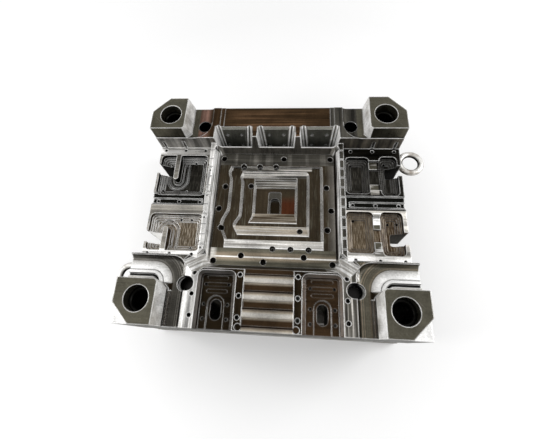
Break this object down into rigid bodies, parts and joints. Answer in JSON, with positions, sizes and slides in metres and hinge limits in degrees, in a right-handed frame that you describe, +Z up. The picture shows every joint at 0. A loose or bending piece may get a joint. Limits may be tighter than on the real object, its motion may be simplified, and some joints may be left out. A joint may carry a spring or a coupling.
{
  "type": "die casting mould",
  "caption": "Moving half of a die casting mould: holder block with corner bosses, stepped cavity insert, side slide recesses and a sprung ejector box.",
  "frame": {"origin": "centre of the clamp plate's underside, which is also the bottom centre of the bounding box", "axes": "+X to the right and +Y to the rear as the picture shows the mould, +Z up, from the clamp plate to the parting face"},
  "size_m": [1.406, 1, 0.59],
  "materials": {
    "block_steel": "milled, dark and oily, with bright arrises",
    "insert_steel": "milled, with fine tool marks",
    "wear_steel": "ground and hardened, dark",
    "screw_steel": "black oxide",
    "bush_steel": "ground bore",
    "forged_steel": "zinc plated forging",
    "plate_steel": "ground plate",
    "pin_steel": "ground and polished",
    "bronze": "turned bearing bronze",
    "spring_steel": "oil tempered wire"
  },
  "bodies": {
    "mould_half": {"holder_block": "block_steel", "cavity_insert": "insert_steel", "insert_screws": "screw_steel", "wear_plate_left": "wear_steel", "wear_plate_centre": "wear_steel", "wear_plate_right": "wear_steel", "wear_plate_screws": "screw_steel", "guide_bush_front_left": "bush_steel", "guide_bush_front_right": "bush_steel", "guide_bush_rear_left": "bush_steel", "guide_bush_rear_right": "bush_steel", "rail_left": "plate_steel", "rail_right": "plate_steel", "clamp_plate": "plate_steel", "clamp_screws": "screw_steel", "rail_dowels": "pin_steel", "support_pillars": "plate_steel", "pillar_screws": "screw_steel", "stop_buttons": "pin_steel", "ejector_guide_pillars": "pin_steel", "return_springs": "spring_steel"},
    "ejector": {"ejector_guide_bushes": "bronze", "ejector_plate": "plate_steel", "ejector_retainer_plate": "plate_steel", "ejector_plate_screws": "screw_steel", "ejector_pins": "pin_steel", "return_pins": "pin_steel"},
    "eye_bolt_right": {"eye_bolt_right": "forged_steel"},
    "eye_bolt_left": {"eye_bolt_left": "forged_steel"}
  },
  "joints": [
    {"name": "ejector_slide", "type": "slide", "parent": "mould_half", "child": "ejector", "axis": [0, 0, 1], "range_m": [0, 0.07], "stiffness_N_per_m": 60000, "springref_m": -0.03, "deforming": ["return_springs"]},
    {"name": "eye_bolt_right_turn", "type": "hinge", "parent": "mould_half", "child": "eye_bolt_right", "pos_m": [0.575, 0.293, 0.34], "axis": [1, 0, 0], "continuous": true},
    {"name": "eye_bolt_left_turn", "type": "hinge", "parent": "mould_half", "child": "eye_bolt_left", "pos_m": [-0.575, -0.293, 0.34], "axis": [-1, 0, 0], "continuous": true}
  ]
}
